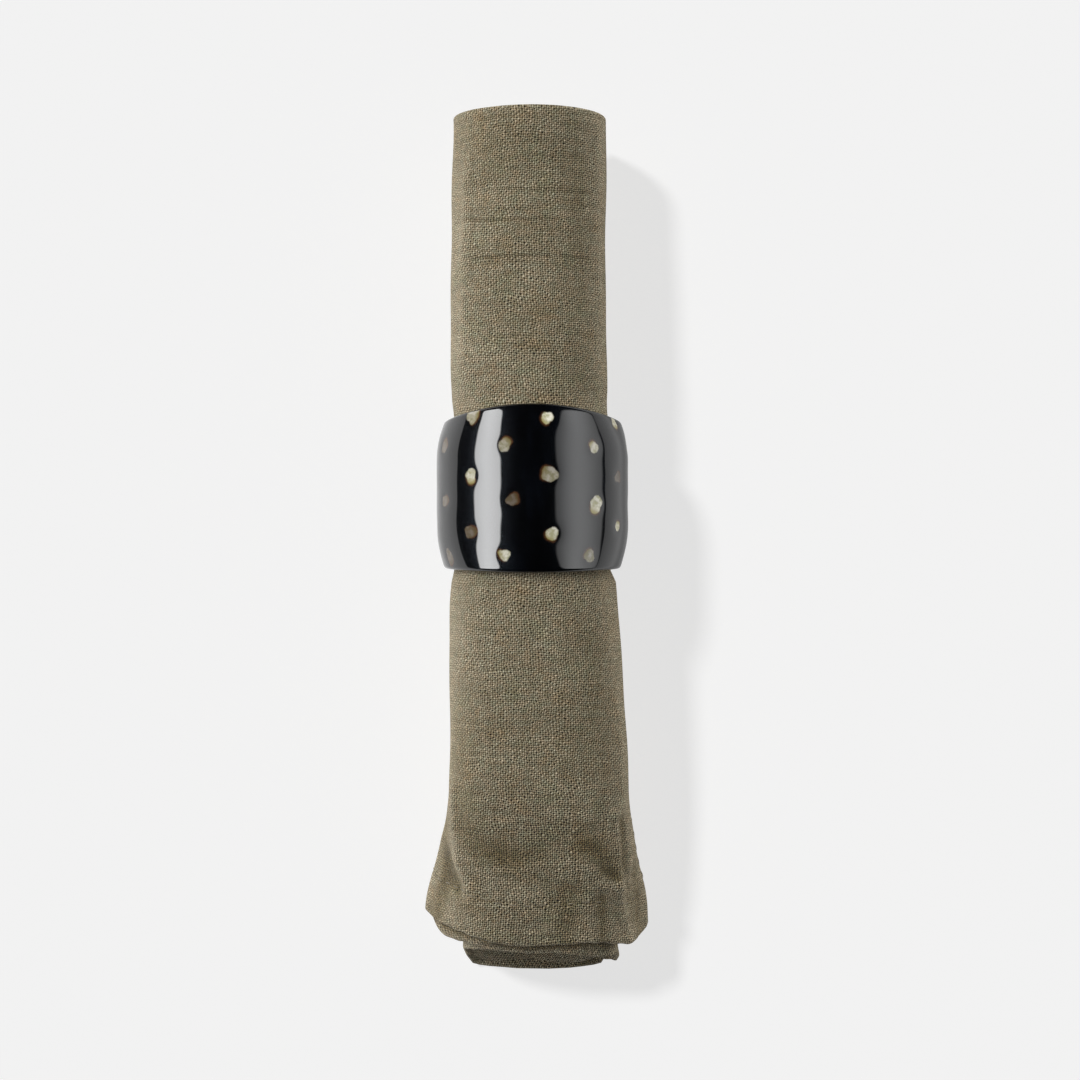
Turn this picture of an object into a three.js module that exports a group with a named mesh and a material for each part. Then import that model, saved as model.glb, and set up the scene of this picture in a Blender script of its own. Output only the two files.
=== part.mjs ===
// A square linen napkin, folded in half and rolled up, held in a barrel-shaped napkin ring.
// Millimetres, +Z up. The roll lies along Y: its folded end is at +Y and its hems spread out at -Y.
// The origin is on the table, under the middle of the whole thing.

import * as THREE from "three";

// ---- Driving sizes of the napkin
const NAPKIN_SIDE = 450; // the flat napkin's width, all of which is wound up
const ROLL_RADIUS = 20.15; // of the folded end, which is nearly round
const TURN_PITCH = 2.3; // from one turn to the next: two plies of cloth and the air between them
const FOLD_Y = 112; // where the folded end stops
const HEM_Y = -100.6; // where the outer turn's hem mostly lies
const EDGE_ANGLE = (-38 * Math.PI) / 180; // where the cloth's free edge lies, seen from the hems, 0 at +X
const FOLD_ROUNDING = 1.2; // how far the groove between two turns is set back at the folded end
const HEM_GROOVE = 2.6; // and at the hems
const TUCK = 0.22; // of a turn, over which the outer turn goes in under the free edge
const CLINGING_TURNS = 2; // over these many more, the outer turn's outline gives way to even winding
const CORE_DEPTH = 16; // of the hollow left in the middle of each end
const STRAIGHT_TO = -60; // beyond here the cloth's lines spread to meet the hem's curves
const DROOP = 0.35; // how steeply the inner turns hang once they leave the outer one

// ---- Driving sizes of the ring
const RING_RADIUS = 24.75;
const RING_BORE = 20.6;
const RING_LENGTH = 42.2;
const RING_CENTRE = new THREE.Vector3(-0.75, 15.5, 24.697);
const BARREL_DROP = 2.1; // how much thinner the wall is at the ends than in the middle
const BARREL_REACH = 12; // how far from each end the barrel starts to narrow
const EDGE_ROUND = 1.4; // of the outer edges
const LIP_ROUND = 0.5; // of the bore's edges
const FOLD_SIDE_CUT = 1.7; // the ring's ends are a little shorter at its sides than at its top
const HEM_SIDE_CUT = 0.4;

// ---- How finely each surface is divided
const STEPS_PER_TURN = 64;
const STATION_GAP = 7.5;
const RING_SEGMENTS = 48;
const BARREL_STEPS = 5;
const EDGE_STEPS = 3;

// The roll's sections, from the folded end to the hems. left, right, bottom and top are its extents without
// the ears, and square is 2 for an ellipse or more for a squarer one. Each ear is how far the outer turn
// stands out in a soft fold at that side. A bottom below 0 lies flat on the table.
const SECTIONS = [
  { y: 112, left: -21.6, right: 18.3, bottom: 1.7, top: 40.8, square: 1.92, leftEar: 0, rightEar: 0 },
  { y: 80, left: -21.7, right: 18.3, bottom: 1.9, top: 42, square: 2.15, leftEar: 0, rightEar: 0 },
  { y: 48, left: -21.7, right: 18.4, bottom: 3.2, top: 43.6, square: 2.15, leftEar: 0, rightEar: 0 },
  { y: 39, left: -21.6, right: 18.3, bottom: 4.3, top: 44.4, square: 2, leftEar: 0, rightEar: 0 },
  { y: 35.6, left: -21.1, right: 18.5, bottom: 4.6, top: 44.8, square: 2, leftEar: 0, rightEar: 0 },
  { y: 33, left: -20.85, right: 18.9, bottom: 4.6, top: 44.8, square: 2, leftEar: 0, rightEar: 0 },
  { y: -5.3, left: -20.95, right: 19.45, bottom: 4.5, top: 44.9, square: 2, leftEar: 0, rightEar: 0 },
  { y: -7.4, left: -21.5, right: 20.7, bottom: 4.2, top: 44.9, square: 2.05, leftEar: 0, rightEar: 0 },
  { y: -16, left: -22.1, right: 21.4, bottom: 3.2, top: 44.2, square: 2.15, leftEar: 0, rightEar: 0 },
  { y: -39, left: -22.2, right: 23, bottom: 1.2, top: 41.6, square: 2.2, leftEar: 0, rightEar: 0 },
  { y: -62, left: -22.3, right: 24.2, bottom: -0.6, top: 38.2, square: 2.3, leftEar: 0, rightEar: 0.3 },
  { y: -77, left: -22.1, right: 24.6, bottom: -1.2, top: 35.4, square: 2.4, leftEar: 3.6, rightEar: 1.8 },
  { y: -95, left: -21.6, right: 23.7, bottom: -1.5, top: 31.2, square: 2.5, leftEar: 7.9, rightEar: 6.3 },
  { y: -103, left: -21.8, right: 23.8, bottom: -1.5, top: 29.6, square: 2.6, leftEar: 7.9, rightEar: 6.3 },
  { y: -112, left: -22.2, right: 25.2, bottom: -1.5, top: 28.6, square: 3, leftEar: 7.9, rightEar: 6.3 },
];

// The ears: where each one is on the outline, how wide it is, and on which turns it shows.
const EARS = [
  { column: "rightEar", angle: (-14 * Math.PI) / 180, side: 1 },
  { column: "leftEar", angle: (194 * Math.PI) / 180, side: -1 },
];
const EAR_WIDTH = (15 * Math.PI) / 180;
const EARS_END = 0.9; // turns in from the free edge
const EARS_FADE = 0.18; // of a turn, over which they die away before that
const EAR_FILL = 0.4; // how far the groove behind an ear follows it

// Where the hem lies along the wound cloth, counted in turns from the free edge. The top of a turn is at
// 0.36, 1.36 and so on, and its underside half a turn later.
const HEM_LINE = [
  { turn: 0, y: -97.5 },
  { turn: 0.067, y: -95.6 },
  { turn: 0.086, y: -98.3 },
  { turn: 0.106, y: -101.4 },
  { turn: 0.128, y: -102.9 },
  { turn: 0.161, y: -103.1 },
  { turn: 0.203, y: -102.2 },
  { turn: 0.272, y: -100.4 },
  { turn: 0.36, y: -101.1 },
  { turn: 0.46, y: -100 },
  { turn: 0.52, y: -100.1 },
  { turn: 0.58, y: -100.1 },
  { turn: 0.606, y: -98.2 },
  { turn: 0.625, y: -96.2 },
  { turn: 0.644, y: -94.9 },
  { turn: 0.72, y: -97.5 },
  { turn: 0.86, y: -103.5 },
  { turn: 0.93, y: -107 },
  { turn: 0.98, y: -109.4 },
  { turn: 1.03, y: -109.4 },
  { turn: 1.07, y: -108.2 },
  { turn: 1.12, y: -105.4 },
  { turn: 1.23, y: -104.8 },
  { turn: 1.36, y: -103.6 },
  { turn: 1.44, y: -103.1 },
  { turn: 1.52, y: -103.3 },
  { turn: 1.6, y: -104.2 },
  { turn: 1.65, y: -107.3 },
  { turn: 1.7, y: -110.2 },
  { turn: 1.76, y: -111.4 },
  { turn: 1.86, y: -112 },
  { turn: 1.98, y: -110.6 },
  { turn: 2.12, y: -104 },
  { turn: 2.36, y: -102.3 },
  { turn: 2.86, y: -107.4 },
  { turn: 3.36, y: -100.8 },
  { turn: 3.86, y: -105.2 },
  { turn: 4.4, y: -99.6 },
  { turn: 5.5, y: -98.5 },
];

// ---- Curves through the tables

// A smooth curve through one column of a table: cubic pieces whose slopes never let it overshoot a row.
function smoothColumn(rows, key, column) {
  const at = rows.map((row) => row[key]);
  const value = rows.map((row) => row[column]);
  const rise = at.slice(1).map((x, i) => (value[i + 1] - value[i]) / (x - at[i]));
  const slope = at.map((_, i) => {
    const before = rise[i - 1];
    const after = rise[i];
    const level = before === undefined || after === undefined || before * after <= 0;
    return level ? 0 : (2 * before * after) / (before + after);
  });
  const falling = at[1] < at[0];
  return (x) => {
    let i = 0;
    while (i < at.length - 2 && (falling ? x < at[i + 1] : x > at[i + 1])) i++;
    const gap = at[i + 1] - at[i];
    const t = THREE.MathUtils.clamp((x - at[i]) / gap, 0, 1);
    const endWeight = t * t * (3 - 2 * t);
    const slopeHere = slope[i] * t * (1 - t) * (1 - t);
    const slopeNext = slope[i + 1] * t * t * (1 - t);
    return value[i] * (1 - endWeight) + value[i + 1] * endWeight + gap * (slopeHere - slopeNext);
  };
}

const SECTION_COLUMNS = ["left", "right", "bottom", "top", "square", "leftEar", "rightEar"];
const sectionAt = Object.fromEntries(
  SECTION_COLUMNS.map((column) => [column, smoothColumn(SECTIONS, "y", column)]),
);
const hemAt = smoothColumn(HEM_LINE, "turn", "y");

// ---- The roll

// How many turns the napkin's whole width makes at the folded end, where the roll is round.
function turnsOfCloth() {
  const woundArea = (TURN_PITCH * NAPKIN_SIDE) / Math.PI;
  return (ROLL_RADIUS - Math.sqrt(ROLL_RADIUS ** 2 - woundArea)) / TURN_PITCH;
}

// How deep in the roll the cloth's outer face is, some turns from its free edge. The outer turn fills the
// roll's outline and tucks in under the free edge at its end. Further in, the cloth winds more evenly.
function depthAt(turns) {
  const part = turns % 1;
  const clinging = THREE.MathUtils.clamp(1 - (turns - 1) / CLINGING_TURNS, 0, 1);
  return TURN_PITCH * (turns - clinging * (part - THREE.MathUtils.smoothstep(part, 1 - TUCK, 1)));
}

const angleAt = (turns) => EDGE_ANGLE + 2 * Math.PI * turns;
const signedPower = (value, power) => Math.sign(value) * Math.abs(value) ** power;

// The point at an angle round the roll and at a depth in it. earShare is how much of the ears it takes.
function rollPoint(y, angle, depth, earShare) {
  const [left, right] = [sectionAt.left(y), sectionAt.right(y)];
  const [bottom, top] = [sectionAt.bottom(y), sectionAt.top(y)];
  const power = 2 / sectionAt.square(y);
  let x = (left + right) / 2 + ((right - left) / 2 - depth) * signedPower(Math.cos(angle), power);
  let z = (bottom + top) / 2 + ((top - bottom) / 2 - depth) * signedPower(Math.sin(angle), power);
  for (const ear of EARS) {
    const away = Math.atan2(Math.sin(angle - ear.angle), Math.cos(angle - ear.angle));
    x += ear.side * sectionAt[ear.column](y) * earShare * Math.exp(-((away / EAR_WIDTH) ** 2));
  }
  // The outer turn lies flat on the table and the others on it, until they leave it and hang down.
  if (bottom < 0) z = Math.max(z, depth - TURN_PITCH, 0);
  if (y < HEM_Y) z = Math.max(z - DROOP * (HEM_Y - y), 0);
  return new THREE.Vector3(x, y, z);
}

// The wound cloth's outer face, and the bottom of the groove between it and the next turn in.
const earShareAt = (turns) => 1 - THREE.MathUtils.smoothstep(turns, EARS_END - EARS_FADE, EARS_END);
const ridgePoint = (turns, y) => rollPoint(y, angleAt(turns), depthAt(turns), earShareAt(turns));
const groovePoint = (turns, y) => {
  const depth = (depthAt(turns) + depthAt(turns + 1)) / 2;
  return rollPoint(y, angleAt(turns), depth, EAR_FILL * earShareAt(turns));
};

// Where the skin's loops lie between the folded end and the hem: at every section, and evenly between them.
function stationsAlongRoll() {
  const fixed = SECTIONS.map((row) => row.y).filter((y) => y > STRAIGHT_TO);
  fixed.push(STRAIGHT_TO, HEM_Y);
  return fixed.slice(1).flatMap((y, i) => {
    const parts = Math.ceil((fixed[i] - y) / STATION_GAP);
    return Array.from({ length: parts }, (_, k) => THREE.MathUtils.lerp(fixed[i], y, (k + 1) / parts));
  }).slice(0, -1);
}

// The roll's solid. Its skin runs from the folded end to the outer turn's hem. On each end a spiral ridge,
// the edge of the wound cloth, alternates with a spiral groove, and a hollow is left in the middle.
function rollGeometry() {
  const positions = [];
  const faces = [];
  const lastStep = Math.round(turnsOfCloth() * STEPS_PER_TURN);

  const addPoint = (point) => positions.push(point.x, point.y, point.z) / 3 - 1;
  const addQuad = (a, b, c, d) => faces.push(a, b, c, a, c, d);
  const joinLoops = (before, after) =>
    before.forEach((_, i) => {
      const next = (i + 1) % before.length;
      addQuad(before[i], before[next], after[next], after[i]);
    });

  // One end of the roll: the rows of its ridge and groove, joined round the spiral and closed at the core.
  function addEnd(ridgeY, grooveOffset, coreY, outward) {
    const ridge = [];
    const groove = [];
    for (let step = 0; step <= lastStep; step++) {
      const turns = step / STEPS_PER_TURN;
      ridge.push(addPoint(ridgePoint(turns, ridgeY(turns))));
      groove.push(addPoint(groovePoint(turns, ridgeY(turns) + grooveOffset)));
    }
    const quad = (a, b, c, d) => (outward ? addQuad(a, b, c, d) : addQuad(d, c, b, a));
    for (let step = 0; step < lastStep; step++) {
      quad(ridge[step], groove[step], groove[step + 1], ridge[step + 1]);
      const inner = step + STEPS_PER_TURN;
      if (inner < lastStep) quad(groove[step], ridge[inner], ridge[inner + 1], groove[step + 1]);
    }
    // The hollow's rim runs along the innermost turn's groove and back across the cloth's inner end.
    const firstInner = lastStep - STEPS_PER_TURN;
    const rim = [...groove.slice(firstInner), ridge[lastStep]];
    const floor = rim.map((index) => addPoint(new THREE.Vector3(
      positions[3 * index], coreY, positions[3 * index + 2],
    )));
    const middle = new THREE.Vector3();
    floor.forEach((index) => middle.add(new THREE.Vector3().fromArray(positions, 3 * index)));
    const centre = addPoint(middle.divideScalar(floor.length));
    rim.forEach((_, i) => {
      const next = (i + 1) % rim.length;
      quad(rim[i], floor[i], floor[next], rim[next]);
      if (outward) faces.push(floor[i], centre, floor[next]);
      else faces.push(floor[next], centre, floor[i]);
    });
    return [...ridge.slice(0, STEPS_PER_TURN + 1), groove[0]];
  }

  const foldLoop = addEnd(() => FOLD_Y, -FOLD_ROUNDING, FOLD_Y - CORE_DEPTH, true);
  const hemLoop = addEnd(hemAt, HEM_GROOVE, HEM_Y + CORE_DEPTH, false);

  // The skin: loops of the outer turn and of the step at the cloth's free edge. The last stretch of
  // each line along the roll is scaled to end at its own point of the hem.
  const towardsHem = (y, turns, setBack) => {
    const share = Math.max(0, (STRAIGHT_TO - y) / (STRAIGHT_TO - HEM_Y));
    return y > STRAIGHT_TO ? y : THREE.MathUtils.lerp(STRAIGHT_TO, hemAt(turns) + setBack, share);
  };
  let before = foldLoop;
  for (const y of stationsAlongRoll()) {
    const loop = [];
    for (let step = 0; step <= STEPS_PER_TURN; step++) {
      const turns = step / STEPS_PER_TURN;
      loop.push(addPoint(ridgePoint(turns, towardsHem(y, turns, 0))));
    }
    loop.push(addPoint(groovePoint(0, towardsHem(y, 0, HEM_GROOVE))));
    joinLoops(before, loop);
    before = loop;
  }
  joinLoops(before, hemLoop);

  const geometry = new THREE.BufferGeometry();
  geometry.setAttribute("position", new THREE.Float32BufferAttribute(positions, 3));
  geometry.setIndex(faces);
  geometry.computeVertexNormals();
  return geometry;
}

// ---- The ring

// Half of the ring's closed profile, from its middle to one end, as [radius, distance from the middle].
function halfRingProfile() {
  const half = RING_LENGTH / 2;
  const barrel = (fromEnd) => RING_RADIUS - BARREL_DROP * (1 - fromEnd / BARREL_REACH) ** 2;
  const points = [];
  for (let i = 0; i <= BARREL_STEPS; i++) {
    const fromEnd = THREE.MathUtils.lerp(BARREL_REACH, EDGE_ROUND, i / BARREL_STEPS);
    points.push([barrel(fromEnd), half - fromEnd]);
  }
  const outerCentre = barrel(EDGE_ROUND) - EDGE_ROUND;
  for (let i = 1; i <= EDGE_STEPS; i++) {
    const turn = ((Math.PI / 2) * i) / EDGE_STEPS;
    points.push([outerCentre + EDGE_ROUND * Math.cos(turn), half - EDGE_ROUND * (1 - Math.sin(turn))]);
  }
  for (let i = 0; i < EDGE_STEPS; i++) {
    const turn = ((Math.PI / 2) * i) / (EDGE_STEPS - 1);
    points.push([RING_BORE + LIP_ROUND * (1 - Math.sin(turn)), half - LIP_ROUND * (1 - Math.cos(turn))]);
  }
  return points;
}

// A lathed barrel, turned so that one of its flats faces straight down for it to rest on.
function ringGeometry() {
  const half = halfRingProfile();
  const mirrored = half.map(([radius, along]) => [radius, -along]);
  const profile = [...mirrored.reverse(), ...half].map(([radius, along]) => new THREE.Vector2(radius, along));
  profile.push(profile[0].clone());
  const geometry = new THREE.LatheGeometry(profile, RING_SEGMENTS, Math.PI / RING_SEGMENTS);
  const position = geometry.getAttribute("position");
  for (let i = 0; i < position.count; i++) {
    const [x, y, z] = [position.getX(i), position.getY(i), position.getZ(i)];
    const sideCut = y > 0 ? FOLD_SIDE_CUT : HEM_SIDE_CUT;
    const fromTop = Math.atan2(x, z);
    const shorter = (sideCut * (1 - Math.cos(2 * fromTop))) / (RING_LENGTH / 2);
    position.setY(i, y * (1 - shorter));
  }
  geometry.computeVertexNormals();
  return geometry;
}

// ---- The scene graph

const linen = new THREE.MeshStandardMaterial({ color: 0x6f6552, roughness: 0.95, metalness: 0 });
const horn = new THREE.MeshStandardMaterial({ color: 0x0a0b10, roughness: 0.12, metalness: 0 });

const napkin = new THREE.Mesh(rollGeometry(), linen);
napkin.name = "napkin";

const napkinRing = new THREE.Mesh(ringGeometry(), horn);
napkinRing.name = "napkin_ring";
napkinRing.position.copy(RING_CENTRE);

const rolledNapkin = new THREE.Group();
rolledNapkin.add(napkin, napkinRing);

export default rolledNapkin;
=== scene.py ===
"""A linen napkin, folded in half and rolled up, in a polished horn ring: its looks, studio and camera.

Lengths are in millimetres until a mesh is made, in the CAD model's frame: +Z up, the folded end at +Y.
"""

import math

import bpy
import numpy as np
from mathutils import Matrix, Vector


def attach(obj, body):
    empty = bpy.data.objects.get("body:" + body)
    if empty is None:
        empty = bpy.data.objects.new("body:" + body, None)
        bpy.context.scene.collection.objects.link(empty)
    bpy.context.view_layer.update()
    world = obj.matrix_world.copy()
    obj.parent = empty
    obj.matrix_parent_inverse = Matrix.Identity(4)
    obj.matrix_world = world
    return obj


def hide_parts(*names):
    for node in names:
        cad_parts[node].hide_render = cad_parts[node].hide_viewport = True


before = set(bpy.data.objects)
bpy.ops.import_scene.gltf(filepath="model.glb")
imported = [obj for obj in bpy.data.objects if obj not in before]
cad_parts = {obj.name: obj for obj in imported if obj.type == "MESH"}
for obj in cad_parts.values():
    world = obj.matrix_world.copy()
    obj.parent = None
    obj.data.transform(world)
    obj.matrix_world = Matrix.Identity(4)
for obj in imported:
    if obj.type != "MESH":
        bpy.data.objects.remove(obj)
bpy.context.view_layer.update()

MM = 0.001
rng = np.random.default_rng(7)

# ---- The roll's form: the CAD model's, with a squarer flare, broader ears and a slightly different hem

NAPKIN_SIDE = 450.0  # the flat napkin's width, all of which is wound up
ROLL_RADIUS = 20.15  # of the folded end, which is nearly round
TURN_PITCH = 2.3  # from one turn to the next
FOLD_Y = 112.0  # where the folded end stops
HEM_Y = -100.6  # where the outer turn's hem mostly lies
STRAIGHT_TO = -60.0  # beyond here the cloth's lines spread to meet the hem's curves
EDGE_ANGLE = math.radians(-38)  # where the cloth's free edge lies, seen from the hems, 0 at +X
TOP_TURN = 0.36  # how far round from there the roll's top is
TUCK = 0.22  # of a turn, over which the outer turn goes in under the free edge
CLINGING_TURNS = 2.0  # over these many more, the outer turn's outline gives way to even winding
DROOP = 0.35  # how steeply the inner turns hang once they leave the outer one
EARS_END = 0.9  # turns in from the free edge
EARS_FADE = 0.18  # of a turn, over which the ears die away before that
EAR_WIDTH = math.radians(15)
EAR_WIDTH_ABOVE = math.radians(24)  # on the side of each ear that faces up
TABLE_GAP = 0.02  # that the cloth keeps from the table

# Sections across the roll. left, right, bottom and top are its extents without the ears, and square is 2 for
# an ellipse or more for a squarer one. Each ear is how far the outer turn stands out in a soft fold there.
SECTION_COLUMNS = ["y", "left", "right", "bottom", "top", "square", "left_ear", "right_ear"]
SECTIONS = np.array([
    [112, -21.6, 18.3, 1.7, 40.8, 1.92, 0, 0],
    [80, -21.7, 18.3, 1.9, 42, 2.25, 0, 0],
    [48, -21.7, 18.4, 3.2, 43.6, 2.2, 0, 0],
    [39, -21.6, 18.3, 4.3, 44.4, 2, 0, 0],
    [35.6, -21.1, 18.5, 4.6, 44.8, 2, 0, 0],
    [33, -20.85, 18.9, 4.6, 44.8, 2, 0, 0],
    [-5.3, -20.95, 19.45, 4.5, 44.9, 2, 0, 0],
    [-7.4, -21.5, 20.7, 4.2, 44.9, 2.05, 0, 0],
    [-16, -22.1, 21.4, 3.2, 44.2, 2.15, 0, 0],
    [-39, -22.2, 23, 1.2, 41.6, 2.35, 0, 0],
    [-62, -22.3, 24.2, -0.6, 38.2, 2.6, 0, 0.3],
    [-77, -22.1, 24.6, -1.2, 35.4, 2.7, 3.6, 1.8],
    [-95, -21.6, 23.7, -1.5, 31.2, 2.7, 7.9, 6.3],
    [-103, -21.8, 23.8, -1.5, 29.6, 2.8, 7.9, 6.3],
    [-112, -22.2, 25.2, -1.5, 28.6, 3, 7.9, 6.3],
])
# Each ear's column, its angle round the roll, and the side it is on.
EARS = [("right_ear", math.radians(-14), 1.0), ("left_ear", math.radians(194), -1.0)]

# Where the hem of a turn's outer ply lies, by how many turns it is from the free edge, and how much less far
# the inner ply's goes.
OUTER_HEM = np.array([
    [0, -93.6], [0.067, -95.6], [0.086, -98.3], [0.106, -100.4], [0.128, -101.6], [0.161, -101.9],
    [0.203, -101.5], [0.272, -100.3], [0.36, -101.1], [0.46, -99.4], [0.52, -97.9], [0.58, -97.1],
    [0.606, -96.3], [0.625, -95.2], [0.644, -94.4], [0.72, -97.5], [0.86, -103.5], [0.93, -107],
    [0.98, -109.4], [1.03, -109.4], [1.07, -108.2], [1.12, -105.4], [1.23, -104.8], [1.36, -103.6],
    [1.44, -103.1], [1.52, -103.3], [1.6, -104.2], [1.65, -107.3], [1.7, -110.2], [1.76, -111.4],
    [1.86, -112], [1.98, -110.6], [2.12, -104], [2.36, -102.3], [2.86, -107.4], [3.36, -100.8],
    [3.86, -105.2], [4.4, -99.6], [5.5, -98.5],
])
INNER_HEM_SHIFT = np.array([
    [0, 1.5], [0.36, 0.9], [0.44, -1], [0.5, -2.8], [0.57, -3.2], [0.61, -2.2], [0.64, -0.2],
    [0.72, 1.2], [0.86, 0.8], [1.1, 1.5], [1.5, 2.2], [1.86, 1.4], [2.4, 1.8], [3.2, -0.8], [4, 1.2],
    [5.5, 0.4],
])

# ---- The cloth

CLOTH_THICKNESS = 0.42
PLY_GAP = 1.05  # between the middles of the two plies of a turn
HEM_PLY_GAP = 1.5  # the same at the hems, which are thicker
HEM_WIDTH = 11.7
HEM_EXTRA = 0.42  # the turned-in layers, on the wrong side
STITCH_INSET = 10.6  # the stitch line's distance from the edge
STITCH_LENGTH = 2.2
STITCH_PITCH = 3.75
STITCH_RADIUS = 0.17
STITCH_SIDES = 6
STITCH_FLATNESS = 0.8
# Where along a stitch, from -0.5 to 0.5, how thick it is there and how far above the cloth's face.
STITCH_PROFILE = [
    (-0.5, 0.25, -0.24), (-0.38, 0.9, -0.06), (0.0, 1.0, 0.02), (0.38, 0.9, -0.06), (0.5, 0.25, -0.24),
]
SEAM_WIDTH = 0.7  # from the seam's middle to where its furrow has mostly gone
SEAM_DEPTH = 0.14  # of the furrow on the right side
SEAM_DEPTH_INSIDE = 0.1  # and on the wrong side
HEM_SWELL = 0.05  # how far the turned-in layers push the right side out
# Painted shade in the seam's furrow.
SEAM_SHADE = 0.14
# The painted shade and painted light that folds and edges put into the cloth's colour stay between these.
DARKEST = -0.72  # that folds and edges make the cloth
PALEST = 0.2
CREVICE_SHADE = 0.72  # of the cloth just beyond the next turn's hem

# Soft folds of the outer turn, each along a line from one (angle round the roll in degrees, y) to another.
# width is across the fold, a height below 0 is a valley, and tone is painted shade (below 0) or painted light
# (above 0) on the cloth there.
FOLD_COLUMNS = ["angle_from", "y_from", "angle_to", "y_to", "width", "height", "tone"]
FOLDS = np.array([
    # The left side: a ridge with a dark crease below it that runs down to the front, and one at the corner.
    [152, -46, 147, -70, 8, 0, -0.27],
    [158, -62, 152, -79, 2.4, 0.6, 0.16],
    [150, -81, 137, -88, 2.4, 0.5, 0.12],
    [180, -73, 173, -80, 3.2, -0.8, -0.46],
    [173, -80, 153, -86.5, 2.8, -0.9, -0.56],
    [171, -86.5, 177, -95, 3, -0.7, -0.56],
    [150, -92, 158, -100, 4, 0.2, -0.1],
    # The front: soft hollows, then a crease that runs down to the right with a ridge under it.
    [134, -73, 104, -78, 5, 0, -0.16],
    [138, -87, 120, -98, 6, 0, -0.18],
    [128, -76.4, 112, -77, 2.8, -0.25, -0.2],
    [106, -78.2, 93, -77.6, 3, -0.2, -0.22],
    [98, -84, 70, -86, 2.8, -0.15, -0.1],
    [78, -72.5, 56, -75.5, 3.2, -0.25, -0.18],
    [66, -75.5, 36, -81.5, 3.6, -0.2, -0.34],
    [52, -81.6, 33, -84.6, 1.7, -0.6, -0.36],
    [71, -80, 53, -84.6, 1.4, 0.25, 0.08],
    [54, -86.4, 31, -86.4, 1.5, 0.5, 0.14],
    [53, -88.5, 49, -102, 2.3, -0.5, -0.34],
    [63, -89, 61, -102, 2.4, 0.25, 0.04],
    [78, -88, 79, -100, 3.2, -0.2, -0.27],
    [68, -66.4, 35, -66.8, 1.1, 0.06, 0.08],
    # The right side: a thin ridge with a deep crease behind it, and pleats near the corner.
    [52, -22, 47, -64, 6, 0, -0.12],
    [26, -42, 28, -66, 2.6, 0.5, 0.06],
    [38, -68, 31, -86, 2, 0.7, 0.14],
    [31, -86, 17, -101, 2.2, 0.7, 0.12],
    [29, -70, 25, -81, 2.6, -0.9, -0.5],
    [21, -86, 10, -96, 2.4, -0.3, -0.2],
    [5, -84, 1, -100, 2.2, -0.8, -0.4],
    [-3, -86, -5, -100, 2.2, 0.6, 0.14],
    # Soft ridges and hollows along the upper half.
    [150, 106, 112, 101, 8.5, 0, -0.2],
    [142, 95, 141, 74, 2.4, 0.6, 0.04],
    [141, 68, 143, 48, 2.8, 0.45, 0.03],
    [30, 108, 29, 60, 2.2, 0.4, 0.03],
    [54, 100, 50, 44, 5, -0.3, -0.13],
    [120, 83, 76, 83, 2.6, -0.1, -0.08],
    [126, 74, 44, 74, 2.4, -0.1, -0.08],
])


def smooth_curve(at, value):
    """A curve through rows that never overshoots one, as a function of arrays."""
    order = np.argsort(at)
    at, value = np.asarray(at)[order], np.asarray(value)[order]
    rise = np.diff(value) / np.diff(at)
    slope = np.zeros(len(at))
    product = rise[:-1] * rise[1:]
    total = rise[:-1] + rise[1:]
    slope[1:-1] = np.where(product > 0, 2 * product / np.where(total == 0, 1, total), 0)

    def curve(x):
        i = np.clip(np.searchsorted(at, x) - 1, 0, len(at) - 2)
        gap = at[i + 1] - at[i]
        t = np.clip((x - at[i]) / gap, 0, 1)
        end = t * t * (3 - 2 * t)
        bend = slope[i] * t * (1 - t) ** 2 - slope[i + 1] * t * t * (1 - t)
        return value[i] * (1 - end) + value[i + 1] * end + gap * bend

    return curve


section_at = {
    name: smooth_curve(SECTIONS[:, 0], SECTIONS[:, k]) for k, name in enumerate(SECTION_COLUMNS) if k
}
outer_hem_at = smooth_curve(*OUTER_HEM.T)
inner_hem_shift_at = smooth_curve(*INNER_HEM_SHIFT.T)


def smoothstep(x, low, high):
    """0 up to the low end, 1 from the high end, and a smooth step between them."""
    t = np.clip((x - low) / (high - low), 0, 1)
    return t * t * (3 - 2 * t)


def depth_at(turns):
    """How deep in the roll the cloth's outer face is. The outer turn keeps to the outline, and further in the
    cloth winds more evenly."""
    part = turns % 1
    clinging = np.clip(1 - (turns - 1) / CLINGING_TURNS, 0, 1)
    return TURN_PITCH * (turns - clinging * (part - smoothstep(part, 1 - TUCK, 1)))


def angle_at(turns):
    """The angle round the roll, some turns from the free edge."""
    return EDGE_ANGLE + 2 * math.pi * turns


def ear_share_at(turns):
    """How much of the ears a turn takes."""
    return 1 - smoothstep(turns, EARS_END - EARS_FADE, EARS_END)


def signed_power(value, power):
    """A power of the value's size, with the value's own sign."""
    return np.sign(value) * np.abs(value) ** power


def roll_point(y, turns, depth, ear_share):
    """Points of the roll, by how far along it they are, their turn and their depth."""
    angle = angle_at(turns)
    left, right = section_at["left"](y), section_at["right"](y)
    bottom, top = section_at["bottom"](y), section_at["top"](y)
    power = 2 / section_at["square"](y)
    x = (left + right) / 2 + ((right - left) / 2 - depth) * signed_power(np.cos(angle), power)
    z = (bottom + top) / 2 + ((top - bottom) / 2 - depth) * signed_power(np.sin(angle), power)
    for column, ear_angle, side in EARS:
        away = np.arctan2(np.sin(angle - ear_angle), np.cos(angle - ear_angle))
        width = np.where(away * side > 0, EAR_WIDTH_ABOVE, EAR_WIDTH)
        x = x + side * section_at[column](y) * ear_share * np.exp(-((away / width) ** 2))
    # Sections whose bottom is below 0 lie flat on the table, and what leaves the outer turn hangs.
    lying = np.maximum(z, np.maximum(depth - TURN_PITCH, 0))
    z = np.where(bottom < 0, lying, z)
    hanging = np.maximum(z - DROOP * (HEM_Y - y), 0)
    z = np.where(y < HEM_Y, hanging, z)
    return np.stack([x, y, z], axis=-1)


# ---- The napkin's mesh


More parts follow.
